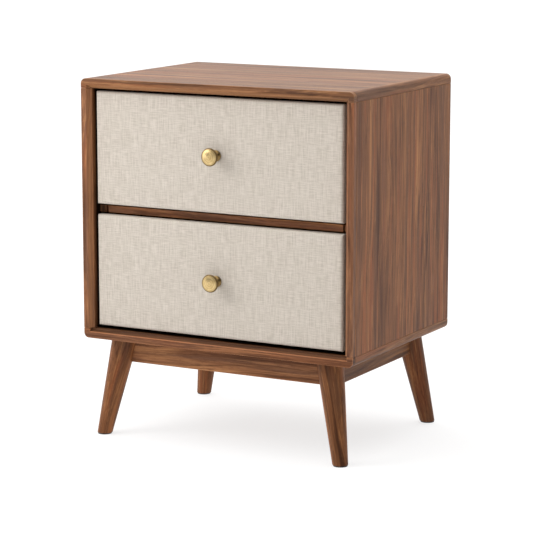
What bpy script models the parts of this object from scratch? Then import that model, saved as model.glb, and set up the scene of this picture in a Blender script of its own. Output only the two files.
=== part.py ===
"""A two-drawer bedside cabinet on splayed round legs, one object for each piece.

Metres, with +Z up, +X the right-hand side and -Y the front. The floor is z = 0, and the origin is
under the middle of the whole object, knobs included.
"""

import math

import bmesh
import bpy
from mathutils import Matrix, Vector
from mathutils.geometry import interpolate_bezier

# Case
CASE_WIDTH = 0.480
CASE_DEPTH = 0.350
CASE_HEIGHT = 0.416
CORNER_RADIUS = 0.0085
CORNER_STEPS = 8
PANEL = 0.015
STRIP_WIDTH = 0.010
BACK_THICKNESS = 0.005
BACK_INSET = 0.005

# Solid lippings round the front opening
LIPPING_WIDTH = 0.0155
LIPPING_DEPTH = 0.010
LIPPING_CHAMFER = 0.005

# Leg frame
LEG_HEIGHT = 0.158
LEG_TOP_RADIUS = 0.0215
LEG_FOOT_RADIUS = 0.0121
LEG_TOP_INSET = Vector((0.056, 0.036))
LEG_FOOT_INSET = Vector((0.027, 0.0155))
LEG_SIDES = 48
APRON_HEIGHT = 0.0395
APRON_THICKNESS = 0.015
FRONT_APRON_INSET = 0.033
SIDE_APRON_INSET = 0.044
GLIDE_RADIUS = 0.0112
GLIDE_HEIGHT = 0.0015

# Drawer fronts
FRONT_RECESS = 0.009
FRONT_SIDE_GAP = 0.0065
FRONT_TOP_GAP = 0.0045
FRONT_BOTTOM_GAP = 0.0055
BETWEEN_FRONTS = 0.017
FRONT_THICKNESS = 0.018
FRONT_ROUNDING = 0.0045
LINEN = 0.0009

# Drawer boxes
BOX_HEIGHT = 0.130
BOX_DEPTH = 0.300
BOX_BOARD = 0.012
BOX_RISE = 0.014
BOTTOM_THICKNESS = 0.005
BOTTOM_RISE = 0.008
GROOVE_DEPTH = 0.0056

# Rail between the drawers
RAIL_HEIGHT = 0.011
RAIL_DEPTH = 0.060
RAIL_SETBACK = 0.028
RAIL_DROP = 0.0016
RAIL_BLOCK_WIDTH = 0.0127
RAIL_JOINT = 0.003

# Telescopic slides
SLIDE_LENGTH = 0.300
SLIDE_WIDTH = 0.0127
SLIDE_HEIGHT = 0.045
SLIDE_SETBACK = 0.030
SLIDE_SHEET = 0.0012
SLIDE_CLEARANCE = 0.001
SLIDE_MIDDLE_INSET = 0.0024
SLIDE_RISE = 0.040

# Knobs
KNOB_LENGTH = 0.024
KNOB_RADIUS = 0.0142
KNOB_RIM_RADIUS = 0.0015
KNOB_RIM_Z = 0.0206
KNOB_NECK_RADIUS = 0.0042
KNOB_BASE_RADIUS = 0.0088
KNOB_BASE_HEIGHT = 0.0016
SCREW_RADIUS = 0.002
SCREW_HEAD_RADIUS = 0.004
SCREW_HEAD_HEIGHT = 0.0025
SCREW_SLOT = 0.001
SCREW_HOLE_RADIUS = 0.0024
SCREW_BITE = 0.009
KNOB_BORE_RADIUS = 0.0023
TURNED_STEPS = 48

# Clearances, edge rounding and how far a cutter runs past what it cuts
GAP = 0.0003
EASED_EDGE = 0.0006
SOFT_EDGE = 0.001
OVERRUN = 0.002

# Places that follow from the sizes above
HALF_WIDTH = CASE_WIDTH / 2
INSIDE_X = HALF_WIDTH - PANEL
CASE_BOTTOM = LEG_HEIGHT
CASE_TOP = CASE_BOTTOM + CASE_HEIGHT
KNOB_PROUD = KNOB_LENGTH - FRONT_RECESS
CASE_FRONT = (KNOB_PROUD - CASE_DEPTH) / 2
CASE_BACK = CASE_FRONT + CASE_DEPTH
CASE_MIDDLE_Y = (CASE_FRONT + CASE_BACK) / 2
PANEL_FRONT = CASE_FRONT + LIPPING_DEPTH + GAP
FRONT_FACE = CASE_FRONT + FRONT_RECESS
FRONT_BACK = FRONT_FACE + FRONT_THICKNESS
OPENING_HALF_WIDTH = HALF_WIDTH - LIPPING_WIDTH
OPENING_BOTTOM = CASE_BOTTOM + LIPPING_WIDTH
OPENING_TOP = CASE_TOP - LIPPING_WIDTH
FRONT_HALF_WIDTH = OPENING_HALF_WIDTH - FRONT_SIDE_GAP
LOWEST_FRONT = OPENING_BOTTOM + FRONT_BOTTOM_GAP
HIGHEST_FRONT = OPENING_TOP - FRONT_TOP_GAP
FRONT_HEIGHT = (HIGHEST_FRONT - LOWEST_FRONT - BETWEEN_FRONTS) / 2
DRAWERS = {
    "lower": LOWEST_FRONT,
    "upper": LOWEST_FRONT + FRONT_HEIGHT + BETWEEN_FRONTS,
}
BOX_FRONT = FRONT_BACK + GAP
BOX_BACK = BOX_FRONT + BOX_DEPTH
BOX_HALF_WIDTH = INSIDE_X - GAP - SLIDE_WIDTH - GAP
SIDES = {"left": -1, "right": 1}
ENDS = {"front": -1, "back": 1}

# Colour (linear RGB), roughness and metallic value
WALNUT = ((0.235, 0.108, 0.060), 0.42, 0.0)
LINEN_CLOTH = ((0.68, 0.61, 0.52), 0.90, 0.0)
PLYWOOD = ((0.62, 0.47, 0.31), 0.55, 0.0)
BRASS = ((0.80, 0.60, 0.25), 0.28, 1.0)
STEEL = ((0.55, 0.56, 0.58), 0.35, 1.0)
NYLON = ((0.05, 0.045, 0.04), 0.60, 0.0)


def clear_scene():
    for obj in list(bpy.data.objects):
        bpy.data.objects.remove(obj)


def new_collection(name):
    collection = bpy.data.collections.new(name)
    bpy.context.scene.collection.children.link(collection)
    return collection


def own_material(obj, finish):
    """Gives the object a material of its own."""
    colour, roughness, metallic = finish
    material = bpy.data.materials.new(obj.name)
    material.use_nodes = True
    shader = material.node_tree.nodes["Principled BSDF"]
    shader.inputs["Base Color"].default_value = (*colour, 1.0)
    shader.inputs["Roughness"].default_value = roughness
    shader.inputs["Metallic"].default_value = metallic
    obj.data.materials.append(material)


def add_object(name, shape, place, collection):
    """Turns a bmesh, drawn round its own origin, into an object at a place."""
    mesh = bpy.data.meshes.new(name)
    shape.to_mesh(mesh)
    shape.free()
    obj = bpy.data.objects.new(name, mesh)
    obj.location = place
    collection.objects.link(obj)
    return obj


def part(name, shape, place, finish, carrier=None):
    """A piece of the cabinet. What moves has an empty on its joint's axis as its carrier."""
    obj = add_object(name, shape, place, parts)
    own_material(obj, finish)
    if carrier:
        obj.parent = carrier
        obj.location = Vector(place) - carrier.location
    return obj


def cutter(name, shape, place):
    obj = add_object(name, shape, place, cutters)
    obj.hide_render = True
    obj.display_type = "WIRE"
    return obj


def block(low, high):
    """A box between two corners, as a bmesh round its centre, and that centre."""
    low, high = Vector(low), Vector(high)
    shape = bmesh.new()
    bmesh.ops.create_cube(shape, size=1)
    bmesh.ops.scale(shape, vec=high - low, verts=shape.verts)
    return shape, (low + high) / 2


def round_modifier(obj, width, segments=2):
    """Rounds the sharp edges only, so that round surfaces keep their shape."""
    bevel = obj.modifiers.new("rounded edges", "BEVEL")
    bevel.width = width
    bevel.segments = segments
    bevel.limit_method = "ANGLE"
    bevel.angle_limit = math.radians(40)


def boolean(obj, tool, operation="DIFFERENCE"):
    modifier = obj.modifiers.new(tool.name, "BOOLEAN")
    modifier.operation = operation
    modifier.solver = "EXACT"
    modifier.object = tool


def shade_round(obj):
    obj.data.shade_smooth()
    obj.data.set_sharp_from_angle(angle=math.radians(35))


def board(name, low, high, finish, edge=EASED_EDGE, carrier=None):
    """A flat board or rail with eased edges."""
    obj = part(name, *block(low, high), finish, carrier)
    round_modifier(obj, edge)
    return obj


def turned(name, profile, place, finish, carrier):
    """A lathe-turned piece that points forwards. The profile's points are (radius, distance forward)."""
    shape = bmesh.new()
    points = [shape.verts.new((radius, 0, forward)) for radius, forward in profile]
    for first, second in zip(points, points[1:]):
        shape.edges.new((first, second))
    obj = part(name, shape, place, finish, carrier)
    obj.rotation_euler = (math.pi / 2, 0, 0)
    screw = obj.modifiers.new("turned", "SCREW")
    screw.steps = TURNED_STEPS
    screw.render_steps = TURNED_STEPS
    screw.use_merge_vertices = True
    screw.merge_threshold = 0.00001
    screw.use_smooth_shade = True
    return obj


def arc(centre, radius, start, end, steps):
    """Points of an arc in the (radius, forward) plane, between two angles in degrees."""
    angles = [math.radians(start + (end - start) * i / steps) for i in range(steps + 1)]
    return [(centre[0] + radius * math.cos(a), centre[1] + radius * math.sin(a)) for a in angles]


# Case


def case_outline():
    """The rounded outline that the corner strips and the lippings are trimmed to."""
    shape, middle = block(
        (-HALF_WIDTH, CASE_FRONT - OVERRUN, CASE_BOTTOM),
        (HALF_WIDTH, CASE_BACK + OVERRUN, CASE_TOP),
    )
    long_edges = [e for e in shape.edges if abs(e.verts[0].co.y - e.verts[1].co.y) > PANEL]
    bmesh.ops.bevel(
        shape,
        geom=long_edges,
        offset=CORNER_RADIUS,
        segments=CORNER_STEPS,
        profile=0.5,
        affect="EDGES",
    )
    return cutter("case_outline", shape, middle)


def case_panels():
    span = HALF_WIDTH - STRIP_WIDTH - GAP
    for name, low in (("bottom_panel", CASE_BOTTOM), ("top_panel", CASE_TOP - PANEL)):
        board(name, (-span, PANEL_FRONT, low), (span, CASE_BACK, low + PANEL), WALNUT)
    low_z, high_z = CASE_BOTTOM + PANEL + GAP, CASE_TOP - PANEL - GAP
    for side, sign in SIDES.items():
        xs = sorted((sign * INSIDE_X, sign * HALF_WIDTH))
        low, high = (xs[0], PANEL_FRONT, low_z), (xs[1], CASE_BACK, high_z)
        board(f"{side}_side_panel", low, high, WALNUT)
    back_face = CASE_BACK - BACK_INSET
    low = (-INSIDE_X + GAP, back_face - BACK_THICKNESS, low_z)
    board("back_panel", low, (INSIDE_X - GAP, back_face, high_z), WALNUT)


def corner_strips(outline):
    """Solid strips along the case's four long corners, which carry its rounding."""
    for side, sign in SIDES.items():
        xs = sorted((sign * (HALF_WIDTH - STRIP_WIDTH), sign * (HALF_WIDTH + OVERRUN)))
        for level, zs in (
            ("bottom", (CASE_BOTTOM - OVERRUN, CASE_BOTTOM + PANEL)),
            ("top", (CASE_TOP - PANEL, CASE_TOP + OVERRUN)),
        ):
            shape, middle = block((xs[0], PANEL_FRONT, zs[0]), (xs[1], CASE_BACK, zs[1]))
            strip = part(f"{level}_{side}_corner_strip", shape, middle, WALNUT)
            boolean(strip, outline, "INTERSECT")
            round_modifier(strip, EASED_EDGE / 2)


def opening_cutter():
    """Cuts the chamfer round the opening: a block that narrows towards the back at 45 degrees."""
    shape, middle = block(
        (-OPENING_HALF_WIDTH, CASE_FRONT - OVERRUN, OPENING_BOTTOM),
        (OPENING_HALF_WIDTH, CASE_FRONT + LIPPING_CHAMFER + OVERRUN, OPENING_TOP),
    )
    for vert in shape.verts:
        growth = -OVERRUN if vert.co.y > 0 else LIPPING_CHAMFER + OVERRUN
        vert.co.x += math.copysign(growth, vert.co.x)
        vert.co.z += math.copysign(growth, vert.co.z)
    return cutter("opening_chamfer", shape, middle)


def front_lippings(outline):
    """The upper and lower lippings run through, and the side ones butt between them."""
    chamfer = opening_cutter()
    front, back = CASE_FRONT, CASE_FRONT + LIPPING_DEPTH
    for level, low_z, high_z in (
        ("bottom", CASE_BOTTOM - OVERRUN, OPENING_BOTTOM),
        ("top", OPENING_TOP, CASE_TOP + OVERRUN),
    ):
        reach = HALF_WIDTH + OVERRUN
        low, high = (-reach, front, low_z), (reach, back, high_z)
        lipping = part(f"{level}_front_lipping", *block(low, high), WALNUT)
        boolean(lipping, outline, "INTERSECT")
        boolean(lipping, chamfer)
        round_modifier(lipping, EASED_EDGE)
    for side, sign in SIDES.items():
        xs = sorted((sign * OPENING_HALF_WIDTH, sign * HALF_WIDTH))
        low, high = (xs[0], front, OPENING_BOTTOM + GAP), (xs[1], back, OPENING_TOP - GAP)
        lipping = part(f"{side}_front_lipping", *block(low, high), WALNUT)
        boolean(lipping, chamfer)
        round_modifier(lipping, EASED_EDGE)


def divider():
    """The rail between the drawers, with a short packing block at each end."""
    middle_z = DRAWERS["upper"] - BETWEEN_FRONTS / 2 - RAIL_DROP
    low_z, high_z = middle_z - RAIL_HEIGHT / 2, middle_z + RAIL_HEIGHT / 2
    low_y = CASE_FRONT + RAIL_SETBACK
    block_outer = INSIDE_X - GAP
    block_inner = block_outer - RAIL_BLOCK_WIDTH
    rail_x = block_inner - RAIL_JOINT
    low, high = (-rail_x, low_y, low_z), (rail_x, low_y + RAIL_DEPTH, high_z)
    board("drawer_divider_rail", low, high, WALNUT)
    for side, sign in SIDES.items():
        xs = sorted((sign * block_inner, sign * block_outer))
        low, high = (xs[0], low_y, low_z), (xs[1], low_y + RAIL_DEPTH, high_z)
        board(f"{side}_divider_block", low, high, WALNUT)


# Leg frame


def leg_radius(height):
    return LEG_FOOT_RADIUS + (LEG_TOP_RADIUS - LEG_FOOT_RADIUS) * height / LEG_HEIGHT


def leg_centre(height, sign_x, sign_y):
    """The middle of a leg's level section at a height."""
    inset = LEG_FOOT_INSET.lerp(LEG_TOP_INSET, height / LEG_HEIGHT)
    x = sign_x * (HALF_WIDTH - inset.x)
    y = CASE_MIDDLE_Y + sign_y * (CASE_DEPTH / 2 - inset.y)
    return Vector((x, y, height))


def splayed_cone(low, high, sign_x, sign_y, extra_radius=0.0):
    """A stretch of a leg between two heights, as a cone sheared so that its ends stay level."""
    shape = bmesh.new()
    bmesh.ops.create_cone(
        shape,
        cap_ends=True,
        segments=LEG_SIDES,
        radius1=leg_radius(low) + extra_radius,
        radius2=leg_radius(high) + extra_radius,
        depth=high - low,
    )
    lean = leg_centre(high, sign_x, sign_y) - leg_centre(low, sign_x, sign_y)
    shear = Matrix.Shear("XY", 4, (lean.x / lean.z, lean.y / lean.z))
    bmesh.ops.transform(shape, matrix=shear, verts=shape.verts)
    return shape, leg_centre((low + high) / 2, sign_x, sign_y)


def legs():
    """Makes the legs and their glides, and returns a clearance cutter for each leg."""
    clearances = {}
    for end, sign_y in ENDS.items():
        for side, sign_x in SIDES.items():
            name = f"{end}_{side}"
            shape, middle = splayed_cone(GLIDE_HEIGHT + GAP, LEG_HEIGHT - GAP, sign_x, sign_y)
            leg = part(f"{name}_leg", shape, middle, WALNUT)
            shade_round(leg)
            round_modifier(leg, EASED_EDGE)

            shape, middle = splayed_cone(
                LEG_HEIGHT - 2 * APRON_HEIGHT, LEG_HEIGHT + OVERRUN, sign_x, sign_y, GAP
            )
            clearances[end, side] = cutter(f"{name}_leg_clearance", shape, middle)

            shape = bmesh.new()
            bmesh.ops.create_cone(
                shape,
                cap_ends=True,
                segments=LEG_SIDES // 2,
                radius1=GLIDE_RADIUS,
                radius2=GLIDE_RADIUS,
                depth=GLIDE_HEIGHT,
            )
            place = leg_centre(0, sign_x, sign_y)
            place.z = GLIDE_HEIGHT / 2
            shade_round(part(f"{name}_foot_glide", shape, place, NYLON))
    return clearances


def aprons(clearances):
    """The four rails of the leg frame, each hollowed at its ends to fit round two legs."""
    low_z, high_z = LEG_HEIGHT - APRON_HEIGHT, LEG_HEIGHT - GAP
    reach_x = leg_centre(LEG_HEIGHT - APRON_HEIGHT / 2, 1, 1).x
    reach_y = CASE_DEPTH / 2 - FRONT_APRON_INSET - APRON_THICKNESS - GAP
    for end, sign in ENDS.items():
        outer = CASE_MIDDLE_Y + sign * (CASE_DEPTH / 2 - FRONT_APRON_INSET)
        ys = sorted((outer, outer - sign * APRON_THICKNESS))
        low, high = (-reach_x, ys[0], low_z), (reach_x, ys[1], high_z)
        apron = board(f"{end}_apron", low, high, WALNUT, SOFT_EDGE)
        for side in SIDES:
            boolean(apron, clearances[end, side])
    for side, sign in SIDES.items():
        outer = sign * (HALF_WIDTH - SIDE_APRON_INSET)
        xs = sorted((outer, outer - sign * APRON_THICKNESS))
        low = (xs[0], CASE_MIDDLE_Y - reach_y, low_z)
        high = (xs[1], CASE_MIDDLE_Y + reach_y, high_z)
        apron = board(f"{side}_apron", low, high, WALNUT, SOFT_EDGE)
        for end in ENDS:
            boolean(apron, clearances[end, side])


# Drawers


def front_block(low_z, shrink, front, back, rounding):
    """A drawer front's outline, smaller by a margin all round, with its face's edges rounded."""
    low = Vector((-FRONT_HALF_WIDTH + shrink, front, low_z + shrink))
    high = Vector((FRONT_HALF_WIDTH - shrink, back, low_z + FRONT_HEIGHT - shrink))
    shape, middle = block(low, high)
    edges = [e for e in shape.edges if all(v.co.y < 0 for v in e.verts)]
    bmesh.ops.bevel(
        shape, geom=edges, offset=rounding, segments=4, profile=0.5, affect="EDGES"
    )
    return shape, middle


def drawer_front(level, low_z, carrier, screw_hole):
    """The front board, and the linen that covers its face and edges."""
    shape, middle = front_block(low_z, 0, FRONT_FACE, FRONT_BACK, FRONT_ROUNDING)
    cover = part(f"{level}_drawer_linen_cover", shape, middle, LINEN_CLOTH, carrier)
    shape, middle = front_block(
        low_z, LINEN, FRONT_FACE + LINEN, FRONT_BACK + OVERRUN, FRONT_ROUNDING - LINEN
    )
    boolean(cover, cutter(f"{level}_linen_inside", shape, middle))
    boolean(cover, screw_hole)
    shade_round(cover)

    inside = LINEN + GAP
    shape, middle = front_block(
        low_z, inside, FRONT_FACE + inside, FRONT_BACK, FRONT_ROUNDING - inside
    )
    front_board = part(f"{level}_drawer_front_board", shape, middle, PLYWOOD, carrier)
    boolean(front_board, screw_hole)


def drawer_box(level, box_z, carrier, screw_hole):
    """Four boards round a bottom that stands in a groove."""
    top_z = box_z + BOX_HEIGHT
    inner_x = BOX_HALF_WIDTH - BOX_BOARD
    groove_z = box_z + BOTTOM_RISE
    groove_top = groove_z + BOTTOM_THICKNESS + 2 * GAP
    shape, middle = block(
        (-inner_x - GROOVE_DEPTH, BOX_FRONT + BOX_BOARD - GROOVE_DEPTH, groove_z),
        (inner_x + GROOVE_DEPTH, BOX_BACK - BOX_BOARD + GROOVE_DEPTH, groove_top),
    )
    groove = cutter(f"{level}_bottom_groove", shape, middle)

    boards = {}
    for side, sign in SIDES.items():
        xs = sorted((sign * inner_x, sign * BOX_HALF_WIDTH))
        boards[f"{side}_side"] = (xs[0], BOX_FRONT, box_z), (xs[1], BOX_BACK, top_z)
    for end, low_y in (("front", BOX_FRONT), ("back", BOX_BACK - BOX_BOARD)):
        span = inner_x - GAP
        boards[f"box_{end}"] = (-span, low_y, box_z), (span, low_y + BOX_BOARD, top_z)
    for name, (low, high) in boards.items():
        piece = board(f"{level}_drawer_{name}", low, high, PLYWOOD, SOFT_EDGE, carrier)
        boolean(piece, groove)
        if name == "box_front":
            boolean(piece, screw_hole)

    reach = GROOVE_DEPTH - 2 * GAP
    low = (-inner_x - reach, BOX_FRONT + BOX_BOARD - reach, groove_z + GAP)
    high = (inner_x + reach, BOX_BACK - BOX_BOARD + reach, groove_top - GAP)
    board(f"{level}_drawer_bottom", low, high, PLYWOOD, GAP, carrier)


def knob_profile():
    """From the middle of the domed face round the rim, down the waist, and up the screw's bore."""
    dome_edge = KNOB_RADIUS - KNOB_RIM_RADIUS
    dome_base = KNOB_RIM_Z + KNOB_RIM_RADIUS
    dome_steps = 6
    dome = []
    for i in range(dome_steps):
        share = i / dome_steps
        drop = (KNOB_LENGTH - dome_base) * share**2
        dome.append((dome_edge * share, KNOB_LENGTH - drop))
    rim = arc((dome_edge, KNOB_RIM_Z), KNOB_RIM_RADIUS, 90, -75, 6)
    under = Vector((*rim[-1], 0))
    waist = Vector((KNOB_NECK_RADIUS, KNOB_LENGTH * 0.42, 0))
    base = Vector((KNOB_BASE_RADIUS, KNOB_BASE_HEIGHT, 0))
    above = Vector((0, KNOB_LENGTH * 0.28, 0))
    inwards = Vector((KNOB_RADIUS * 0.45, 0, 0))
    flare = interpolate_bezier(under, under - inwards, waist + above, waist, 10)
    foot = interpolate_bezier(waist, waist - above * 0.6, base - inwards * 0.2, base, 8)
    curve = [(p.x, p.y) for p in flare[1:] + foot[1:]]
    bore = [
        (KNOB_BASE_RADIUS, GAP),
        (KNOB_BORE_RADIUS, GAP),
        (KNOB_BORE_RADIUS, SCREW_BITE + GAP),
        (0, SCREW_BITE + GAP),
    ]
    return dome + rim + curve + bore


def knob_and_screw(level, middle_z, carrier):
    knob_place = Vector((0, FRONT_FACE, middle_z))
    turned(f"{level}_drawer_knob", knob_profile(), knob_place, BRASS, carrier)

    head = BOX_FRONT + BOX_BOARD + GAP
    tip = head - (FRONT_FACE - SCREW_BITE)
    crown = SCREW_HEAD_HEIGHT / 3
    profile = [
        (0, tip),
        (SCREW_RADIUS, tip - SOFT_EDGE),
        (SCREW_RADIUS, 0),
        (SCREW_HEAD_RADIUS, 0),
        (SCREW_HEAD_RADIUS, -SCREW_HEAD_HEIGHT + crown),
        (SCREW_HEAD_RADIUS * 0.6, -SCREW_HEAD_HEIGHT),
        (0, -SCREW_HEAD_HEIGHT),
    ]
    place = Vector((0, head, middle_z))
    screw = turned(f"{level}_drawer_knob_screw", profile, place, STEEL, carrier)
    slot_y = head + SCREW_HEAD_HEIGHT
    half_slot = SCREW_SLOT / 2
    shape, middle = block(
        (-SCREW_HEAD_RADIUS * 2, slot_y - SCREW_SLOT, middle_z - half_slot),
        (SCREW_HEAD_RADIUS * 2, slot_y + SCREW_SLOT, middle_z + half_slot),
    )
    boolean(screw, cutter(f"{level}_screw_slot", shape, middle))


def screw_hole_cutter(level, middle_z):
    """The clearance hole through the linen, the front board and the box front."""
    length = BOX_FRONT + BOX_BOARD - FRONT_FACE + 2 * OVERRUN
    shape = bmesh.new()
    bmesh.ops.create_cone(
        shape,
        cap_ends=True,
        segments=24,
        radius1=SCREW_HOLE_RADIUS,
        radius2=SCREW_HOLE_RADIUS,
        depth=length,
        matrix=Matrix.Rotation(math.pi / 2, 4, "X"),
    )
    place = (0, FRONT_FACE - OVERRUN + length / 2, middle_z)
    return cutter(f"{level}_screw_hole", shape, place)


def slide_channel(name, outer_x, depth, half_height, middle_z, opens_to, carrier=None):
    """One folded-steel member: a channel whose web stands at outer_x and whose open side faces opens_to."""
    xs = sorted((outer_x, outer_x + opens_to * depth))
    low_y = CASE_FRONT + SLIDE_SETBACK
    shape, middle = block(
        (xs[0], low_y, middle_z - half_height),
        (xs[1], low_y + SLIDE_LENGTH, middle_z + half_height),
    )
    gone = [f for f in shape.faces if abs(f.normal.y) > 0.5 or f.normal.x * opens_to > 0.5]
    bmesh.ops.delete(shape, geom=gone, context="FACES")
    obj = part(name, shape, middle, STEEL, carrier)
    sheet = obj.modifiers.new("sheet steel", "SOLIDIFY")
    sheet.thickness = SLIDE_SHEET
    sheet.offset = -1
    sheet.use_even_offset = True


def slides(level, middle_z, drawer, runners):
    """A pair of telescopic slides. Each has a case member, a middle member and a drawer member."""
    step = SLIDE_SHEET + SLIDE_CLEARANCE
    half = SLIDE_HEIGHT / 2
    for side, sign in SIDES.items():
        name = f"{level}_{side}_slide"
        case_x = sign * (INSIDE_X - GAP)
        drawer_x = case_x - sign * SLIDE_WIDTH
        middle_x = case_x - sign * SLIDE_MIDDLE_INSET
        case_depth = SLIDE_WIDTH - 2 * SLIDE_CLEARANCE
        middle_depth = SLIDE_WIDTH - SLIDE_MIDDLE_INSET - SLIDE_SHEET - SLIDE_CLEARANCE / 2
        drawer_depth = SLIDE_WIDTH - SLIDE_MIDDLE_INSET - step
        slide_channel(f"{name}_case_member", case_x, case_depth, half, middle_z, -sign)
        slide_channel(
            f"{name}_middle_member", middle_x, middle_depth, half - step, middle_z, -sign, runners
        )
        slide_channel(
            f"{name}_drawer_member", drawer_x, drawer_depth, half - 2 * step, middle_z, sign, drawer
        )


def carrier_empty(name, height):
    """An empty on a sliding body's line of travel, which runs along Y."""
    empty = bpy.data.objects.new(name, None)
    empty.location = (0, FRONT_FACE, height)
    parts.objects.link(empty)
    return empty


def drawer(level, low_z):
    middle_z = low_z + FRONT_HEIGHT / 2
    box_z = low_z + BOX_RISE
    slide_z = box_z + SLIDE_RISE
    body = carrier_empty(f"{level}_drawer_travel", slide_z)
    runners = carrier_empty(f"{level}_runners_travel", slide_z)
    screw_hole = screw_hole_cutter(level, middle_z)
    drawer_front(level, low_z, body, screw_hole)
    drawer_box(level, box_z, body, screw_hole)
    knob_and_screw(level, middle_z, body)
    slides(level, slide_z, body, runners)


clear_scene()
parts = new_collection("nightstand_with_drawers")
cutters = new_collection("cutters")
outline_cutter = case_outline()
case_panels()
corner_strips(outline_cutter)
front_lippings(outline_cutter)
divider()
aprons(legs())
for drawer_level, drawer_low_z in DRAWERS.items():
    drawer(drawer_level, drawer_low_z)
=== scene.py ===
"""Looks for the nightstand with drawers: wood, linen, brass and steel, the light and the camera.

Everything is in metres in the frame's own axes: +X right, +Y back, +Z up, with the floor at z = 0.
Sizes and places come from the frame's nodes. The linen cloths are built here, and every other node keeps
its shape and gets its finish here.
"""

import math

import bmesh
import bpy
from mathutils import Matrix, Vector
from mathutils.noise import noise as noise_at


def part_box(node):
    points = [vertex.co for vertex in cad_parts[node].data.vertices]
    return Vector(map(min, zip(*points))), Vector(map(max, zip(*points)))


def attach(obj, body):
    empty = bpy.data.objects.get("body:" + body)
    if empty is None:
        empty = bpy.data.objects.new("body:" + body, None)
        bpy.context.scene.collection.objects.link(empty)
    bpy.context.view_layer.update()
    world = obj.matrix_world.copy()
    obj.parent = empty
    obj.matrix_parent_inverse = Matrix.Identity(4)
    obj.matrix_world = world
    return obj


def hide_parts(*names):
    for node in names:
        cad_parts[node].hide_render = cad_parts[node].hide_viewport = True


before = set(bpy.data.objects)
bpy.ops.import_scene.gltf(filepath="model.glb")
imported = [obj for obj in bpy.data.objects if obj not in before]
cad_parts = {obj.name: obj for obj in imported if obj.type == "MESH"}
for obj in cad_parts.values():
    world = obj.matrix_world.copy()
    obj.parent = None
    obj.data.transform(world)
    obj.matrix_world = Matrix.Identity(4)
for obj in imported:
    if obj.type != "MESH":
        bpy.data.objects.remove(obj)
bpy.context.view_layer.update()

# Camera
CAMERA_TARGET = Vector((-0.0160, 0.0325, 0.2610))
CAMERA_AZIMUTH = 28.58
CAMERA_ELEVATION = 10.05
CAMERA_DISTANCE = 3.6555
CAMERA_LENS = 151.81
CLIP_END = 200

# Light and floor
SKY_DARK = 0.05
SKY_BRIGHT = 1.25
BRIGHT_SIDE = (-0.62, 0.78, 0.0)
SUN_AZIMUTH = -90
SUN_ELEVATION = 80
SUN_STRENGTH = 2.6
SUN_ANGLE = 80
SOFTBOX_PLACE = Vector((-1.15, -1.10, 1.10))
SOFTBOX_TARGET = Vector((0, 0, 0.35))
SOFTBOX_POWER = 13
SOFTBOX_SIZE = 0.9
FLOOR_SIZE = 120.0
FLOOR_GREY = 0.30
FLOOR_GLOW = 0.72

# Walnut's colours, all linear
WALNUT_DARK = (0.082, 0.032, 0.014)
WALNUT_MIDDLE = (0.238, 0.101, 0.044)
WALNUT_LIGHT = (0.440, 0.208, 0.088)
WALNUT_GREY = (0.158, 0.081, 0.049)
WALNUT_RED = (0.310, 0.102, 0.039)
FIBRE_SHADE = (0.52, 0.46, 0.42)
WALNUT_RELIEF = 0.00012
WALNUT_SEED_STEP = Vector((1.7, 0.83, 0.59))
TOP_FIGURE_SCALE = 0.55
ARRIS_LIGHTENING = 0.35

# Just inside the front opening the case's colour is darkened as painted shade, so that the gaps round the
# drawers look dark. These depths and the bevel's are measured back from the front of the case
RECESS_START = 0.0135
RECESS_END = 0.0200
RECESS_FADE_START = 0.0425
RECESS_FADE_END = 0.0725
RECESS_LAP = 0.0003
RECESS_PAINTED_SHADE = 0.05
BEVEL_ARRIS = 0.0008
BEVEL_START = 0.0015
BEVEL_END = 0.0030
BEVEL_SHADE = 0.42
ARRIS_GLEAM = 1.4

# Birch plywood
BIRCH_DARK = (0.47, 0.33, 0.20)
BIRCH_MIDDLE = (0.60, 0.45, 0.29)
BIRCH_PALE = (0.68, 0.54, 0.37)
BIRCH_FLECK = (0.36, 0.23, 0.13)
BIRCH_END_GRAIN = (0.27, 0.16, 0.085)
BIRCH_RELIEF = 0.00008
BIRCH_SEED_STEP = Vector((0.9, 0.4, 0.0))
FIRST_BOARD_SEED = 41
TWO_PLIES = 0.0027

# Linen: its weave, and the cloth drawn over each drawer front. Ripples are in waves per metre, across and up
LINEN_PITCH = 0.00085
LINEN_DARK = (0.550, 0.485, 0.410)
LINEN_MIDDLE = (0.660, 0.590, 0.512)
LINEN_PALE = (0.765, 0.692, 0.612)
LINEN_TONE = (0.62, 0.58, 0.48)
LINEN_VALLEY_SHADE = (0.36, 0.30, 0.24)
LINEN_RELIEF = 0.00022
THREAD_WANDER = 0.0016
CLOTH_STEP = 0.0045
CLOTH_THICKNESS = 0.0007
CLOTH_RIPPLE = 0.00008
CLOTH_DENT = 0.00012
CLOTH_MERGE = 0.00002
SLOW_RIPPLE = (14, 17)
QUICK_RIPPLE = (45, 38)
KNOB_FOOT = 0.010
TURN_IN = 0.0065
TURN_IN_LIFT = 0.0002
TURN_IN_STEPS = 2
WRAP_RADIUS = 0.0045
WRAP_STEPS = 6
SIDE_STEPS = 3

# Brass. The depths of the painted shade and dark reflection on the rim and the neck are from the knob's rim
# inward and from its tip back
BRASS_DEEP = (0.56, 0.40, 0.175)
BRASS_PALE = (0.72, 0.54, 0.27)
BRASS_RINGS_AND_SHADE = (0.13, 0.075, 0.022)
BRASS_RELIEF = 0.00003
TURNING_PITCH = 0.0033
RIM_SHADE_START = 0.0027
RIM_SHADE_FULL = 0.0015
NECK_SHADE_START = 0.0025
NECK_SHADE_FULL = 0.0050

# Steel and nylon
STEEL_DARK = (0.50, 0.51, 0.53)
STEEL_PALE = (0.58, 0.59, 0.61)
STEEL_RELIEF = 0.00002
NYLON_DARK = (0.028, 0.024, 0.021)
NYLON_PALE = (0.075, 0.066, 0.058)
NYLON_RELIEF = 0.00004

# Nodes: corners this near are joined, edges below this angle are shaded smooth, and this near is one height
WELD_DISTANCE = 0.00001
ROUNDED_BELOW = 38
SAME_HEIGHT = 0.0001

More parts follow.
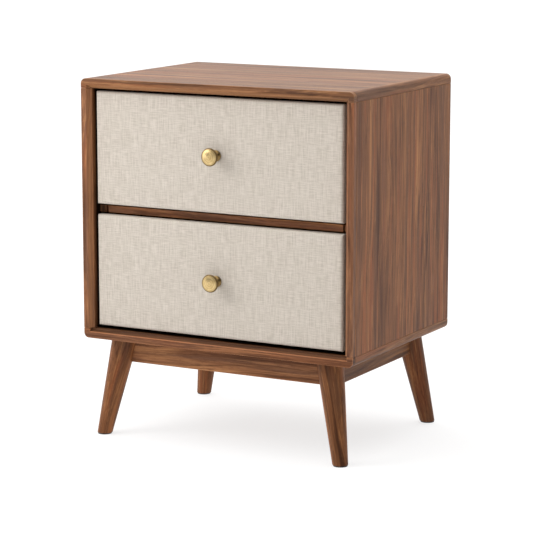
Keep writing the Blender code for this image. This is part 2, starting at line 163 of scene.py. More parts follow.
LEVELS = ("lower", "upper")
SIDES = ("left", "right")
ENDS = ("front", "back")
X, Y, Z = Vector((1, 0, 0)), Vector((0, 1, 0)), Vector((0, 0, 1))


# Shader nodes


def add(tree, kind, inputs, output=0, **settings):
    """Adds a shader node, sets or links its inputs, and returns one of its output sockets."""
    made = tree.nodes.new("ShaderNode" + kind)
    for name, value in settings.items():
        setattr(made, name, value)
    for socket, value in inputs.items():
        if isinstance(value, bpy.types.NodeSocket):
            tree.links.new(value, made.inputs[socket])
        else:
            made.inputs[socket].default_value = value
    return made.outputs[output]


def maths(tree, operation, *values):
    return add(tree, "Math", dict(enumerate(values)), operation=operation)


def separate(tree, vector):
    """A vector's three parts, as sockets."""
    made = tree.nodes.new("ShaderNodeSeparateXYZ")
    tree.links.new(vector, made.inputs[0])
    return made.outputs


def noise(tree, vector, scale, detail=2.0, roughness=0.5, distortion=0.0):
    """Noise whose frequency differs along each axis, in waves per metre."""
    stretched = add(tree, "VectorMath", {0: vector, 1: scale}, operation="MULTIPLY")
    inputs = {
        "Vector": stretched,
        "Scale": 1.0,
        "Detail": detail,
        "Roughness": roughness,
        "Distortion": distortion,
    }
    return add(tree, "TexNoise", inputs)


def spread(tree, value, low, high, to_low=0.0, to_high=1.0):
    """Maps the range low to high onto to_low to to_high, smoothly and clamped."""
    inputs = {0: value, 1: low, 2: high, 3: to_low, 4: to_high}
    return add(tree, "MapRange", inputs, interpolation_type="SMOOTHSTEP")


def ramp(tree, value, stops):
    """A colour ramp through (position, linear colour) stops."""
    made = tree.nodes.new("ShaderNodeValToRGB")
    elements = made.color_ramp.elements
    while len(elements) < len(stops):
        elements.new(0.5)
    for element, (position, colour) in zip(elements, stops):
        element.position = position
        element.color = (*colour, 1.0)
    tree.links.new(value, made.inputs[0])
    return made.outputs[0]


def mix(tree, factor, first, second, mode="MIX"):
    """Mixes two colours. A colour is a socket or three linear numbers."""
    pair = [c if isinstance(c, bpy.types.NodeSocket) else (*c, 1.0) for c in (first, second)]
    inputs = {0: factor, 6: pair[0], 7: pair[1]}
    return add(tree, "Mix", inputs, output=2, data_type="RGBA", blend_type=mode)


def new_material(name, even_values):
    """A Principled material. Values that are even all over are set on the shader's own sockets."""
    material = bpy.data.materials.new(name)
    material.use_nodes = True
    shader = material.node_tree.nodes["Principled BSDF"]
    for socket, value in even_values.items():
        shader.inputs[socket].default_value = value
    return material, shader


def bump(tree, shader, height, distance):
    """Raises the surface by up to a distance in metres."""
    inputs = {"Height": height, "Distance": distance, "Strength": 1.0}
    tree.links.new(add(tree, "Bump", inputs), shader.inputs["Normal"])


# Walnut


def walnut_figure():
    """A node group: wood colour, roughness and height at a point given along, across and into the grain."""
    tree = bpy.data.node_groups.new("walnut figure", "ShaderNodeTree")
    tree.interface.new_socket("Point", in_out="INPUT", socket_type="NodeSocketVector")
    tree.interface.new_socket("Color", in_out="OUTPUT", socket_type="NodeSocketColor")
    tree.interface.new_socket("Roughness", in_out="OUTPUT", socket_type="NodeSocketFloat")
    tree.interface.new_socket("Height", in_out="OUTPUT", socket_type="NodeSocketFloat")
    point = tree.nodes.new("NodeGroupInput").outputs["Point"]

    # The grain sways slowly from side to side
    sway = noise(tree, point, (2.4, 8.0, 8.0), detail=2.0)
    shift = maths(tree, "MULTIPLY_ADD", sway, 0.034, -0.017)
    aside = add(tree, "CombineXYZ", {1: shift, 2: shift})
    grain = add(tree, "VectorMath", {0: point, 1: aside}, operation="ADD")

    # Broad bands, and within them redder and greyer wood
    bands = noise(tree, grain, (2.6, 60.0, 60.0), detail=3.0, roughness=0.65)
    stops = [(0.34, WALNUT_DARK), (0.46, WALNUT_MIDDLE), (0.55, WALNUT_MIDDLE), (0.68, WALNUT_LIGHT)]
    colour = ramp(tree, bands, stops)
    redness = noise(tree, grain, (2.1, 75.0, 75.0), detail=2.0)
    colour = mix(tree, spread(tree, redness, 0.50, 0.64, 0.0, 0.65), colour, WALNUT_RED)
    greyness = noise(tree, grain, (1.5, 61.0, 54.0), detail=3.0)
    colour = mix(tree, spread(tree, greyness, 0.50, 0.64, 0.0, 0.60), colour, WALNUT_GREY)

    # Growth rings: a soft rise to a thin dark line, clearer in some places than in others
    across = separate(tree, grain)[1]
    wander = noise(tree, grain, (3.0, 60.0, 60.0), detail=2.0)
    ring_place = maths(tree, "MULTIPLY_ADD", across, 120.0, maths(tree, "MULTIPLY", wander, 4.5))
    ring = maths(tree, "POWER", maths(tree, "FRACT", ring_place), 3.0)
    clear = spread(tree, noise(tree, grain, (2.0, 20.0, 20.0)), 0.40, 0.64, 0.05, 0.55)
    colour = mix(tree, maths(tree, "MULTIPLY", ring, clear), colour, WALNUT_DARK)

    # Streaks a few millimetres wide, some light and some dark, and finer fibres
    streaks = noise(tree, grain, (4.5, 185.0, 185.0), detail=4.0, roughness=0.75)
    colour = mix(tree, spread(tree, streaks, 0.53, 0.64, 0.0, 0.62), colour, WALNUT_LIGHT)
    colour = mix(tree, spread(tree, streaks, 0.47, 0.36, 0.0, 0.72), colour, WALNUT_DARK)
    fibres = noise(tree, grain, (14.0, 800.0, 800.0), detail=3.0, roughness=0.6)
    colour = mix(tree, spread(tree, fibres, 0.35, 0.65, 0.0, 0.30), colour, FIBRE_SHADE, "MULTIPLY")

    # Open pores, as short dark dashes
    pore_noise = noise(tree, point, (120.0, 2300.0, 2300.0), detail=1.0)
    pores = spread(tree, pore_noise, 0.64, 0.72)
    colour = mix(tree, maths(tree, "MULTIPLY", pores, 0.65), colour, WALNUT_DARK)

    roughness = maths(tree, "MULTIPLY_ADD", fibres, 0.16, 0.36)
    height = maths(tree, "SUBTRACT", maths(tree, "MULTIPLY", fibres, 0.35), pores)
    outputs = tree.nodes.new("NodeGroupOutput").inputs
    tree.links.new(colour, outputs["Color"])
    tree.links.new(roughness, outputs["Roughness"])
    tree.links.new(height, outputs["Height"])
    return tree


def depth_in_case(tree, place):
    """How far back a point lies from the front of the case."""
    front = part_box("bottom_front_lipping")[0].y
    return maths(tree, "SUBTRACT", separate(tree, place)[1], front)


def recess_shade(tree, place):
    """Painted shade on the case: its colour is multiplied by this, which is low just inside the front
    opening.
    """
    half_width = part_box("right_side_panel")[0].x + RECESS_LAP
    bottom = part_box("bottom_panel")[1].z - RECESS_LAP
    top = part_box("top_panel")[0].z + RECESS_LAP
    from_middle = add(tree, "VectorMath", {0: place, 1: (0, 0, (top + bottom) / 2)}, operation="SUBTRACT")
    reach = separate(tree, add(tree, "VectorMath", {0: from_middle}, operation="ABSOLUTE"))
    within_x = maths(tree, "LESS_THAN", reach[0], half_width)
    within_z = maths(tree, "LESS_THAN", reach[2], (top - bottom) / 2)
    depth = depth_in_case(tree, place)
    deep_enough = spread(tree, depth, RECESS_START, RECESS_END)
    not_too_deep = spread(tree, depth, RECESS_FADE_START, RECESS_FADE_END, 1.0, 0.0)
    painted_shade = maths(tree, "MULTIPLY", deep_enough, not_too_deep)
    inside = maths(tree, "MULTIPLY", maths(tree, "MULTIPLY", within_x, within_z), painted_shade)
    return maths(tree, "MULTIPLY_ADD", inside, RECESS_PAINTED_SHADE - 1.0, 1.0)


def bevel_shade(tree, place):
    """Painted shade and highlight on a lipping with a bevel: darker on its bevel, and lighter on the arris
    in front.
    """
    depth = depth_in_case(tree, place)
    bevel = spread(tree, depth, BEVEL_START, BEVEL_END, 1.0, BEVEL_SHADE)
    before_arris = spread(tree, depth, 2 * BEVEL_ARRIS - BEVEL_START, BEVEL_ARRIS)
    behind_arris = spread(tree, depth, BEVEL_ARRIS, BEVEL_START, 1.0, 0.0)
    painted_arris_highlight = maths(tree, "MULTIPLY", before_arris, behind_arris)
    return maths(tree, "MULTIPLY", bevel, maths(tree, "MULTIPLY_ADD", painted_arris_highlight, ARRIS_GLEAM, 1.0))


def arris_mask(tree, arris_lightening):
    """The narrow faces between a face and a bevel or another face, which are made lighter."""
    facing = add(tree, "NewGeometry", {}, output="True Normal")
    upright = separate(tree, add(tree, "VectorMath", {0: facing}, operation="ABSOLUTE"))
    main = maths(tree, "MAXIMUM", maths(tree, "MAXIMUM", upright[0], upright[1]), upright[2])
    off_bevel = spread(tree, main, 0.73, 0.80, 0.0, arris_lightening)
    off_face = spread(tree, main, 0.96, 0.99, 1.0, 0.0)
    return maths(tree, "MULTIPLY", off_bevel, off_face)


def walnut(name, figure, grain, seed, lift, scale, arris_lightening, shaded_in_opening, shaded_on_bevel):
    """Walnut with its grain's two directions, along and across.

    The seed picks its place in the log, lift how pale it is, scale how fine its figure is, and
    arris_lightening how much lighter its arrises are made. Some lifts are painted light and some painted
    shade. shaded_in_opening adds painted shade just inside the front opening, and shaded_on_bevel adds
    painted shade on the bevel and a painted highlight on the arris in front of it.
    """
    along = grain[0].normalized()
    across = (grain[1] - grain[1].dot(along) * along).normalized()
    material, shader = new_material(name, {"IOR": 1.5, "Specular IOR Level": 0.12})
    tree = material.node_tree
    place = add(tree, "TexCoord", {}, output="Object")
    turn = Matrix((along, across, along.cross(across))).to_euler()
    offset = WALNUT_SEED_STEP * seed
    inputs = {"Vector": place, "Rotation": turn, "Location": offset, "Scale": (scale, scale, scale)}
    point = add(tree, "Mapping", inputs)
    group = tree.nodes.new("ShaderNodeGroup")
    group.node_tree = figure
    tree.links.new(point, group.inputs[0])
    colour = group.outputs["Color"]
    if arris_lightening:
        colour = mix(tree, arris_mask(tree, arris_lightening), colour, WALNUT_LIGHT)
    colour = mix(tree, 1.0, colour, lift, "MULTIPLY")
    # Painted shade inside the front opening, and on the bevel painted shade with a painted arris highlight
    if shaded_in_opening:
        shade = recess_shade(tree, place)
        if shaded_on_bevel:
            shade = maths(tree, "MULTIPLY", shade, bevel_shade(tree, place))
        grey = add(tree, "CombineColor", {0: shade, 1: shade, 2: shade})
        colour = mix(tree, 1.0, colour, grey, "MULTIPLY")
    tree.links.new(colour, shader.inputs["Base Color"])
    tree.links.new(group.outputs["Roughness"], shader.inputs["Roughness"])
    bump(tree, shader, group.outputs["Height"], WALNUT_RELIEF)
    return material


# Other materials


def plywood(name, along, thickness, seed):
    """Birch plywood: pale rotary-cut faces, and plies in turn light and dark across the thickness."""
    material, shader = new_material(name, {"Roughness": 0.5, "IOR": 1.45})
    tree = material.node_tree
    place = add(tree, "TexCoord", {}, output="Object")
    turn = Matrix((along, thickness.cross(along), thickness)).to_euler()
    inputs = {"Vector": place, "Rotation": turn, "Location": BIRCH_SEED_STEP * seed}
    point = add(tree, "Mapping", inputs)
    cloud = noise(tree, point, (3.5, 22.0, 0.0), detail=4.0, roughness=0.6, distortion=0.6)
    colour = ramp(tree, cloud, [(0.32, BIRCH_DARK), (0.52, BIRCH_MIDDLE), (0.70, BIRCH_PALE)])
    fleck = noise(tree, point, (70.0, 1400.0, 1400.0), detail=2.0)
    colour = mix(tree, spread(tree, fleck, 0.55, 0.75, 0.0, 0.35), colour, BIRCH_FLECK)
    depth = separate(tree, point)[2]
    ply = maths(tree, "SINE", maths(tree, "MULTIPLY", depth, 2 * math.pi / TWO_PLIES))
    facing = add(tree, "NewGeometry", {}, output="True Normal")
    face_on = add(tree, "VectorMath", {0: facing, 1: thickness}, output="Value", operation="DOT_PRODUCT")
    edge = spread(tree, maths(tree, "ABSOLUTE", face_on), 0.3, 0.8, 1.0, 0.0)
    dark_ply = maths(tree, "MULTIPLY", spread(tree, ply, -0.2, 0.2, 0.0, 0.55), edge)
    colour = mix(tree, dark_ply, colour, BIRCH_END_GRAIN)
    tree.links.new(colour, shader.inputs["Base Color"])
    bump(tree, shader, maths(tree, "ADD", fleck, dark_ply), BIRCH_RELIEF)
    return material


def linen():
    """Slub linen, woven on the cloth's own flat coordinates, which its UV map holds in metres."""
    fuzz = {"Roughness": 0.92, "Specular IOR Level": 0.2, "Sheen Weight": 0.18, "Sheen Roughness": 0.45}
    material, shader = new_material("linen", fuzz)
    tree = material.node_tree
    flat = add(tree, "UVMap", {}, uv_map="cloth")

    # Threads wander, each by about its pitch
    drift = noise(tree, flat, (26.0, 26.0, 0.0), detail=2.0)
    drift_across = noise(tree, flat, (90.0, 18.0, 0.0), detail=1.0)
    aside = maths(tree, "MULTIPLY", drift, THREAD_WANDER)
    up = maths(tree, "MULTIPLY", drift_across, THREAD_WANDER)
    wandering = add(tree, "CombineXYZ", {0: aside, 1: up})
    thread_place = add(tree, "VectorMath", {0: flat, 1: wandering}, operation="ADD")
    scaled = add(tree, "VectorMath", {0: thread_place, "Scale": math.pi / LINEN_PITCH}, operation="SCALE")
    parts = separate(tree, scaled)
    crossing = maths(tree, "MULTIPLY", maths(tree, "SINE", parts[0]), maths(tree, "SINE", parts[1]))
    pillow = maths(tree, "POWER", maths(tree, "ABSOLUTE", crossing), 0.45)
    warp_on_top = spread(tree, crossing, -0.05, 0.05)

    # Slubs: each thread is thick and thin, light and dark, along its own length
    warp = noise(tree, flat, (620.0, 34.0, 0.0), detail=2.0, roughness=0.6)
    weft = noise(tree, flat, (58.0, 680.0, 0.0), detail=2.0, roughness=0.6)
    thread = mix(tree, warp_on_top, warp, weft)
    on_top = maths(tree, "MULTIPLY", thread, 0.30)
    both = maths(tree, "MULTIPLY_ADD", maths(tree, "ADD", warp, weft), 0.35, on_top)
    colour = ramp(tree, both, [(0.36, LINEN_DARK), (0.48, LINEN_MIDDLE), (0.60, LINEN_PALE)])
    tone = noise(tree, flat, (38.0, 38.0, 0.0), detail=3.0)
    colour = mix(tree, spread(tree, tone, 0.35, 0.65, 0.0, 0.10), colour, LINEN_TONE)
    # Painted shade: the weave is darker in the hollows between its threads
    valley_shade = spread(tree, pillow, 0.0, 0.55, 0.45, 0.0)
    colour = mix(tree, valley_shade, colour, LINEN_VALLEY_SHADE)
    tree.links.new(colour, shader.inputs["Base Color"])
    relief = maths(tree, "MULTIPLY_ADD", thread, 0.9, pillow)
    bump(tree, shader, relief, LINEN_RELIEF)
    return material


def brass(name, knob):
    """Turned satin brass: fine rings round its axis, and painted shade and dark reflection on rim and neck.
    """
    low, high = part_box(knob)
    tip = ((low.x + high.x) / 2, low.y, (low.z + high.z) / 2)
    rim_radius = (high.x - low.x) / 2
    material, shader = new_material(name, {"IOR": 1.5, "Anisotropic": 0.7, "Specular IOR Level": 0.2})
    tree = material.node_tree
    place = add(tree, "TexCoord", {}, output="Object")
    local = add(tree, "VectorMath", {0: place, 1: tip}, operation="SUBTRACT")
    flat = add(tree, "VectorMath", {0: local, 1: (1, 0, 1)}, operation="MULTIPLY")
    radius = add(tree, "VectorMath", {0: flat}, output="Value", operation="LENGTH")
    depth = separate(tree, local)[1]
    ring_place = add(tree, "CombineXYZ", {0: radius, 1: depth})
    marks = noise(tree, ring_place, (1900.0, 1900.0, 0.0), detail=4.0, roughness=0.7)
    cloud = noise(tree, place, (160.0, 160.0, 160.0), detail=3.0)
    colour = ramp(tree, cloud, [(0.3, BRASS_DEEP), (0.7, BRASS_PALE)])
    # Painted shade and dark reflection: the rim and the neck are darker, and the rim is less metallic
    rim_start, rim_full = rim_radius - RIM_SHADE_START, rim_radius - RIM_SHADE_FULL
    rim = spread(tree, radius, rim_start, rim_full, 0.0, 0.93)
    behind = spread(tree, depth, NECK_SHADE_START, NECK_SHADE_FULL, 0.0, 0.80)
    shade_and_dark_reflection = maths(tree, "MAXIMUM", rim, behind)
    tree.links.new(maths(tree, "MULTIPLY_ADD", rim, -0.75, 1.0), shader.inputs["Metallic"])
    turned = maths(tree, "SINE", maths(tree, "MULTIPLY", radius, 2 * math.pi / TURNING_PITCH))
    colour = mix(tree, spread(tree, turned, 0.2, 1.0, 0.0, 0.28), colour, BRASS_RINGS_AND_SHADE)
    colour = mix(tree, shade_and_dark_reflection, colour, BRASS_RINGS_AND_SHADE)
    tree.links.new(colour, shader.inputs["Base Color"])
    rough = maths(tree, "MULTIPLY_ADD", marks, 0.20, 0.20)
    tree.links.new(rough, shader.inputs["Roughness"])
    tangent = add(tree, "Tangent", {}, direction_type="RADIAL", axis="Y")
    tree.links.new(tangent, shader.inputs["Tangent"])
    bump(tree, shader, marks, BRASS_RELIEF)
    return material


def zinc_steel(name, along):
    """Zinc-plated sheet steel with faint rolling marks and a cloudy plating."""
    material, shader = new_material(name, {"Metallic": 1.0})
    tree = material.node_tree
    place = add(tree, "TexCoord", {}, output="Object")
    across = along.orthogonal()
    turn = Matrix((along, across, along.cross(across))).to_euler()
    point = add(tree, "Mapping", {"Vector": place, "Rotation": turn})
    rolled = noise(tree, point, (30.0, 1700.0, 1700.0), detail=3.0)
    cloud = noise(tree, place, (60.0, 60.0, 60.0), detail=4.0, roughness=0.65)
    colour = ramp(tree, cloud, [(0.3, STEEL_DARK), (0.7, STEEL_PALE)])
    tree.links.new(colour, shader.inputs["Base Color"])
    rough = maths(tree, "MULTIPLY_ADD", rolled, 0.20, maths(tree, "MULTIPLY_ADD", cloud, 0.08, 0.26))
    tree.links.new(rough, shader.inputs["Roughness"])
    bump(tree, shader, rolled, STEEL_RELIEF)
    return material


def nylon():
    """Dark nylon, finely grained and scuffed."""
    material, shader = new_material("nylon", {"IOR": 1.53})
    tree = material.node_tree
    place = add(tree, "TexCoord", {}, output="Object")
    grainy = noise(tree, place, (1900.0, 1900.0, 1900.0), detail=2.0)
    scuff = noise(tree, place, (240.0, 240.0, 90.0), detail=4.0, roughness=0.7)
    colour = ramp(tree, scuff, [(0.35, NYLON_DARK), (0.75, NYLON_PALE)])
    tree.links.new(colour, shader.inputs["Base Color"])
    tree.links.new(maths(tree, "MULTIPLY_ADD", scuff, 0.3, 0.42), shader.inputs["Roughness"])
    bump(tree, shader, grainy, NYLON_RELIEF)
    return material


# Pieces


def smooth_rounds():
    """A modifier's node group that joins a node's split corners and shades its rounded faces smooth."""
    tree = bpy.data.node_groups.new("smooth rounds", "GeometryNodeTree")
    tree.interface.new_socket("Geometry", in_out="INPUT", socket_type="NodeSocketGeometry")
    tree.interface.new_socket("Geometry", in_out="OUTPUT", socket_type="NodeSocketGeometry")
    start = tree.nodes.new("NodeGroupInput")
    plain = tree.nodes.new("GeometryNodeRemoveAttribute")
    plain.inputs["Name"].default_value = "custom_normal"
    joined = tree.nodes.new("GeometryNodeMergeByDistance")
    joined.inputs["Distance"].default_value = WELD_DISTANCE
    smooth = tree.nodes.new("GeometryNodeSetShadeSmooth")
    angle = tree.nodes.new("GeometryNodeInputMeshEdgeAngle")
    gentle = tree.nodes.new("ShaderNodeMath")
    gentle.operation = "LESS_THAN"
    gentle.inputs[1].default_value = math.radians(ROUNDED_BELOW)
    split = tree.nodes.new("GeometryNodeSetShadeSmooth")
    split.domain = "EDGE"
    end = tree.nodes.new("NodeGroupOutput")
    link = tree.links.new
    link(start.outputs[0], plain.inputs["Geometry"])
    link(plain.outputs["Geometry"], joined.inputs["Geometry"])
    link(joined.outputs["Geometry"], smooth.inputs["Geometry"])
    link(smooth.outputs["Geometry"], split.inputs["Geometry"])
    link(angle.outputs["Unsigned Angle"], gentle.inputs[0])
    link(gentle.outputs[0], split.inputs["Shade Smooth"])
    link(split.outputs["Geometry"], end.inputs[0])
    return tree


def finish_node(name, material, smoothing):
    """Gives a CAD node its finish, and shades its rounded faces smooth."""
    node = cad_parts[name]
    for slot in node.material_slots:
        slot.material = material
    node.modifiers.new("smooth rounds", "NODES").node_group = smoothing
    weighted = node.modifiers.new("flat faces stay flat", "WEIGHTED_NORMAL")
    weighted.weight = 100
    weighted.keep_sharp = True


def wrap_stations(half, depth):
    """Places from the cloth's middle to its hem: how far along, in from the rim, and back from its face."""
    radius = WRAP_RADIUS
    flat_run = half - radius
    side_run = depth - 2 * radius
    corner_run = radius * math.pi / 2
    count = round(flat_run / CLOTH_STEP)
    stations = [(flat_run * i / count, half - flat_run * i / count, 0.0) for i in range(count)]
    travel = flat_run
    for i in range(WRAP_STEPS + 1):
        a = math.pi / 2 * i / WRAP_STEPS
        inward, back = radius - radius * math.sin(a), radius - radius * math.cos(a)
        stations.append((travel + radius * a, inward, back))
    travel += corner_run
    for i in range(1, SIDE_STEPS + 1):
        run = side_run * i / SIDE_STEPS
        stations.append((travel + run, 0.0, radius + run))
    travel += side_run
    for i in range(1, WRAP_STEPS + 1):
        a = math.pi / 2 * i / WRAP_STEPS
        inward, back = radius - radius * math.cos(a), depth - radius + radius * math.sin(a)
        stations.append((travel + radius * a, inward, back))
    travel += corner_run
    for i in range(1, TURN_IN_STEPS + 1):
        run = TURN_IN * i / TURN_IN_STEPS
        stations.append((travel + run, radius + run, depth + TURN_IN_LIFT * i / TURN_IN_STEPS))
    return stations


def both_ways(stations):
    """The same stations on both sides of the middle, each with its sign."""
    mirrored = [(-1, *station) for station in reversed(stations[1:])]
    return mirrored + [(1, *station) for station in stations]


def cloth_piece(level):
    """Linen drawn over a drawer front, round its edges and onto its back. Returned with its flat size."""
    low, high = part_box(f"{level}_drawer_linen_cover")
    size = high - low
    middle = (low + high) / 2
    columns = both_ways(wrap_stations(size.x / 2, size.y))
    rows = both_ways(wrap_stations(size.z / 2, size.y))
    shape = bmesh.new()
    bmesh.ops.create_grid(shape, x_segments=len(columns) - 1, y_segments=len(rows) - 1, size=1.0)
    shape.verts.ensure_lookup_table()
    flat_map = shape.loops.layers.uv.new("cloth")
    flat_place = {}
    for vert in shape.verts:
        column = columns[round((vert.co.x + 1) / 2 * (len(columns) - 1))]
        row = rows[round((vert.co.y + 1) / 2 * (len(rows) - 1))]
        flat_place[vert] = (column[0] * column[1], row[0] * row[1])
        x, z, back = place_on_front(column, row, size)
        if back == 0:
            back = slack(x, z)
        vert.co = (middle.x + x, low.y + back, middle.z + z)
    for face in shape.faces:
        for corner in face.loops:
            corner[flat_map].uv = flat_place[corner.vert]
    bmesh.ops.remove_doubles(shape, verts=shape.verts, dist=CLOTH_MERGE)
    bmesh.ops.recalc_face_normals(shape, faces=shape.faces)
    mesh = bpy.data.meshes.new(f"{level}_linen")
    shape.to_mesh(mesh)
    shape.free()
    mesh.shade_smooth()
    piece = bpy.data.objects.new(f"{level}_linen_cloth", mesh)
    bpy.context.scene.collection.objects.link(piece)
    return piece, (2 * columns[-1][1], 2 * rows[-1][1])


def place_on_front(column, row, size):
    """Where a point of the flat cloth lies on the drawer front: from its middle, and back from its face."""
    radius = WRAP_RADIUS
    side_x, run_x, in_x, back_x = column
    side_z, run_z, in_z, back_z = row
    half_x, half_z = size.x / 2, size.z / 2
    if back_x > 0 and back_z > 0:
        # A corner: the side the cloth has gone further round leads, and the other is tucked against it
        past_x, past_z = run_x - (half_x - radius), run_z - (half_z - radius)
        if past_x > past_z:
            z = half_z - radius + past_z / past_x * (radius - in_x)
            return side_x * (half_x - in_x), side_z * z, back_x
        x = half_x - radius + past_x / past_z * (radius - in_z)
        return side_x * x, side_z * (half_z - in_z), back_z
    x, z = side_x * (half_x - in_x), side_z * (half_z - in_z)
    if in_x > radius and back_x > 0:
        z = max(in_x - half_z, min(half_z - in_x, z))
    if in_z > radius and back_z > 0:
        x = max(in_z - half_x, min(half_x - in_z, x))
    return x, z, max(back_x, back_z)


def slack(x, z):
    """How far the cloth's face lies back from flat: ripples, and a dent under the knob's foot."""
    slow = noise_at(Vector((x * SLOW_RIPPLE[0], z * SLOW_RIPPLE[1], 0.0)))
    quick = noise_at(Vector((x * QUICK_RIPPLE[0], z * QUICK_RIPPLE[1], 4.0)))
    ripple = slow * 0.5 + quick * 0.5
    dent = math.exp(-((math.hypot(x, z) / KNOB_FOOT) ** 4))
    return CLOTH_RIPPLE * (1 + ripple) + CLOTH_DENT * dent


def make_cloth(level, material):
    """Makes a drawer's linen, fixes it to the drawer, and hides the drawer's linen cover node."""
    piece, flat = cloth_piece(level)
    piece.data.materials.append(material)
    sheet = piece.modifiers.new("cloth thickness", "SOLIDIFY")
    sheet.thickness = CLOTH_THICKNESS
    sheet.offset = -1
    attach(piece, f"{level}_drawer")
    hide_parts(f"{level}_drawer_linen_cover")


# Scene


def heading(azimuth, elevation):
    """The way outward at two angles in degrees. Azimuth 0 is in front of the cabinet, 90 on its right."""
    a, e = math.radians(azimuth), math.radians(elevation)
    return Vector((math.sin(a) * math.cos(e), -math.cos(a) * math.cos(e), math.sin(e)))


def make_camera():
    back = heading(CAMERA_AZIMUTH, CAMERA_ELEVATION)
    data = bpy.data.cameras.new("camera")
    data.lens = CAMERA_LENS
    data.clip_end = CLIP_END
    camera = bpy.data.objects.new("camera", data)
    camera.location = CAMERA_TARGET + back * CAMERA_DISTANCE
    camera.rotation_euler = back.to_track_quat("Z", "Y").to_euler()
    bpy.context.scene.collection.objects.link(camera)
    bpy.context.scene.camera = camera


def add_lamp(data, place, back):
    """Adds a lamp at a place, pointing away from the direction that is behind it."""
    lamp = bpy.data.objects.new(data.name, data)
    lamp.location = place
    lamp.rotation_euler = back.to_track_quat("Z", "Y").to_euler()
    bpy.context.scene.collection.objects.link(lamp)


def make_lamps():
    """A broad soft light from above, and a softbox in front on the left."""
    overhead = bpy.data.lights.new("overhead", "SUN")
    overhead.energy = SUN_STRENGTH
    overhead.angle = math.radians(SUN_ANGLE)
    add_lamp(overhead, Vector(), heading(SUN_AZIMUTH, SUN_ELEVATION))
    softbox = bpy.data.lights.new("left_softbox", "AREA")
    softbox.energy = SOFTBOX_POWER
    softbox.size = SOFTBOX_SIZE
    add_lamp(softbox, SOFTBOX_PLACE, SOFTBOX_PLACE - SOFTBOX_TARGET)


def make_world():
    """White light from all round, brightest from the back on the left."""
    world = bpy.data.worlds.new("studio")
    world.use_nodes = True
    tree = world.node_tree
    direction = add(tree, "TexCoord", {}, output="Generated")
    pair = {0: direction, 1: BRIGHT_SIDE}
    towards_bright = add(tree, "VectorMath", pair, output="Value", operation="DOT_PRODUCT")
    strength = spread(tree, towards_bright, -1.0, 1.0, SKY_DARK, SKY_BRIGHT)
    tree.links.new(strength, tree.nodes["Background"].inputs["Strength"])
    tree.nodes["Background"].inputs["Color"].default_value = (1, 1, 1, 1)
    bpy.context.scene.world = world
    bpy.context.scene.view_settings.view_transform = "Standard"


def make_floor():
    """A table that glows, so that it's nearly white and keeps only faint shadows."""
    shape = bmesh.new()
    bmesh.ops.create_grid(shape, x_segments=1, y_segments=1, size=FLOOR_SIZE / 2)
    mesh = bpy.data.meshes.new("floor")
    shape.to_mesh(mesh)
    shape.free()
    floor = bpy.data.objects.new("floor", mesh)
    bpy.context.scene.collection.objects.link(floor)
    lit = {
        "Base Color": (FLOOR_GREY, FLOOR_GREY, FLOOR_GREY, 1),
        "Roughness": 1.0,
        "Specular IOR Level": 0,
        "Emission Color": (1, 1, 1, 1),
        "Emission Strength": FLOOR_GLOW,
    }
    material, _ = new_material("lit shooting table", lit)
    floor.data.materials.append(material)


# Finishes


# The directions of a piece's grain, along and across. The corner strips' and the legs' are added below
CASE_GRAINS = {
    "top_panel": (X, Y),
    "bottom_panel": (X, Y),
    "left_side_panel": (Z, Y),
    "right_side_panel": (Z, Y),
    "back_panel": (Z, X),
    "drawer_divider_rail": (X, Z),
    "left_divider_block": (Z, X),
    "right_divider_block": (Z, X),
    "top_front_lipping": (X, Z),
    "bottom_front_lipping": (X, Z),
    "left_front_lipping": (Z, X),
    "right_front_lipping": (Z, X),
    "front_apron": (X, Z),
    "back_apron": (X, Z),
    "left_apron": (Y, Z),
    "right_apron": (Y, Z),
}

# A piece's colour is multiplied by its lift, and pieces that aren't here keep theirs. Most lifts set a
# piece's tone, and some are painted light and shade: the back legs darker as painted shadow of the case, the
# divider blocks darker as painted shade, the divider rail lighter as painted light in the slot between the
# drawers, and the left front lipping lighter than the right as painted light from the left
TONE_AND_LIGHT_LIFTS = {
    "front_left_leg": (0.93, 0.85, 0.77),
    "front_right_leg": (0.93, 0.85, 0.75),
    # Painted shadow: the back legs are darker, as if in the case's shadow
    "back_left_leg": (0.84, 0.76, 0.68),
    "back_right_leg": (0.74, 0.66, 0.57),
    "top_panel": (0.92, 0.98, 0.98),
    # Painted light: the rail is lighter, as if well lit in the slot between the drawers
    "drawer_divider_rail": (1.65, 1.58, 1.55),
    "top_front_lipping": (1.08, 1.10, 1.12),
    # Painted shade: the divider blocks are darker
    "left_divider_block": (0.8, 0.8, 0.8),
    "right_divider_block": (0.8, 0.8, 0.8),
    # Painted light: the left lipping is lighter than the right, as if lit from the left
    "left_front_lipping": (1.23, 1.21, 1.26),
    "right_front_lipping": (1.02, 1.03, 1.18),
    "bottom_front_lipping": (0.98, 0.88, 0.88),
    "left_side_panel": (1.06, 0.98, 0.88),
    "right_side_panel": (1.06, 0.98, 0.88),
    "front_apron": (1.17, 1.12, 1.12),
    "back_apron": (1.17, 1.12, 1.12),
    "left_apron": (0.74, 0.70, 0.62),
    "right_apron": (0.74, 0.70, 0.62),
}

# The directions of a board's grain and of its thickness
BOARDS = {
    "front_board": (X, Y),
    "box_front": (X, Y),
    "box_back": (X, Y),
    "left_side": (Y, X),
    "right_side": (Y, X),
    "bottom": (X, Z),
}


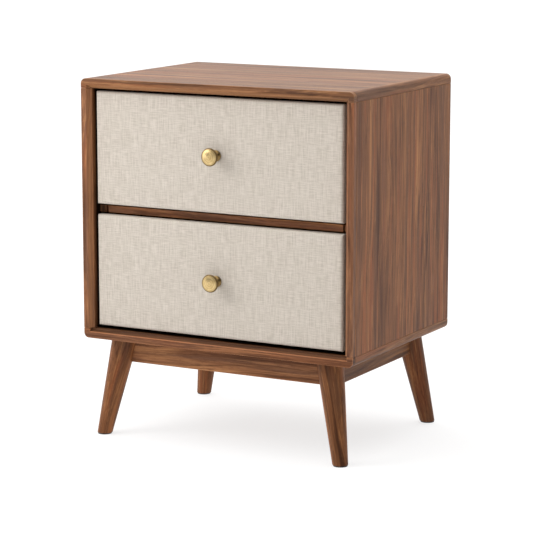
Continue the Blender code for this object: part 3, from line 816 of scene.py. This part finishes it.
def leg_axis(name):
    """From the middle of a leg's glide to the middle of its top, whose corners share one height."""
    foot_low, foot_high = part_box(f"{name}_foot_glide")
    foot = (foot_low + foot_high) / 2
    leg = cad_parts[f"{name}_leg"].data
    top_z = max(v.co.z for v in leg.vertices)
    top = [v.co for v in leg.vertices if v.co.z > top_z - SAME_HEIGHT]
    return sum(top, Vector()) / len(top) - foot


def wood_grains():
    """Every walnut piece's grain. A piece's seed is its place in this order."""
    grains = dict(CASE_GRAINS)
    for level in ("top", "bottom"):
        for side in SIDES:
            grains[f"{level}_{side}_corner_strip"] = (Y, X)
    for end in ENDS:
        for side in SIDES:
            grains[f"{end}_{side}_leg"] = (leg_axis(f"{end}_{side}"), X)
    return grains


def finish_wood(smoothing):
    figure = walnut_figure()
    for seed, (name, grain) in enumerate(wood_grains().items(), start=1):
        looks = {
            "lift": TONE_AND_LIGHT_LIFTS.get(name, (1, 1, 1)),
            "scale": TOP_FIGURE_SCALE if name == "top_panel" else 1.0,
            "arris_lightening": 0.0 if name.endswith(("_leg", "_strip")) else ARRIS_LIGHTENING,
            # Painted shade just inside the front opening, on the panels and the lippings
            "shaded_in_opening": name.endswith(("_panel", "_lipping")),
            # Painted shade on the bottom lipping's bevel, with a painted highlight on its arris
            "shaded_on_bevel": name == "bottom_front_lipping",
        }
        finish_node(name, walnut(name, figure, grain, seed, **looks), smoothing)


def finish_drawers(smoothing):
    seed = FIRST_BOARD_SEED
    cloth = linen()
    for level in LEVELS:
        drawer = f"{level}_drawer"
        make_cloth(level, cloth)
        for board, (along, thickness) in BOARDS.items():
            name = f"{drawer}_{board}"
            finish_node(name, plywood(name, along, thickness, seed), smoothing)
            seed += 1
        knob = f"{drawer}_knob"
        finish_node(knob, brass(f"{drawer}_brass", knob), smoothing)


def finish_hardware(smoothing):
    steel = zinc_steel("zinc_steel", Y)
    plastic = nylon()
    for level in LEVELS:
        finish_node(f"{level}_drawer_knob_screw", steel, smoothing)
        for side in SIDES:
            for member in ("case", "middle", "drawer"):
                finish_node(f"{level}_{side}_slide_{member}_member", steel, smoothing)
    for end in ENDS:
        for side in SIDES:
            finish_node(f"{end}_{side}_foot_glide", plastic, smoothing)


smoothing_nodes = smooth_rounds()
make_camera()
make_lamps()
make_world()
make_floor()
finish_wood(smoothing_nodes)
finish_drawers(smoothing_nodes)
finish_hardware(smoothing_nodes)
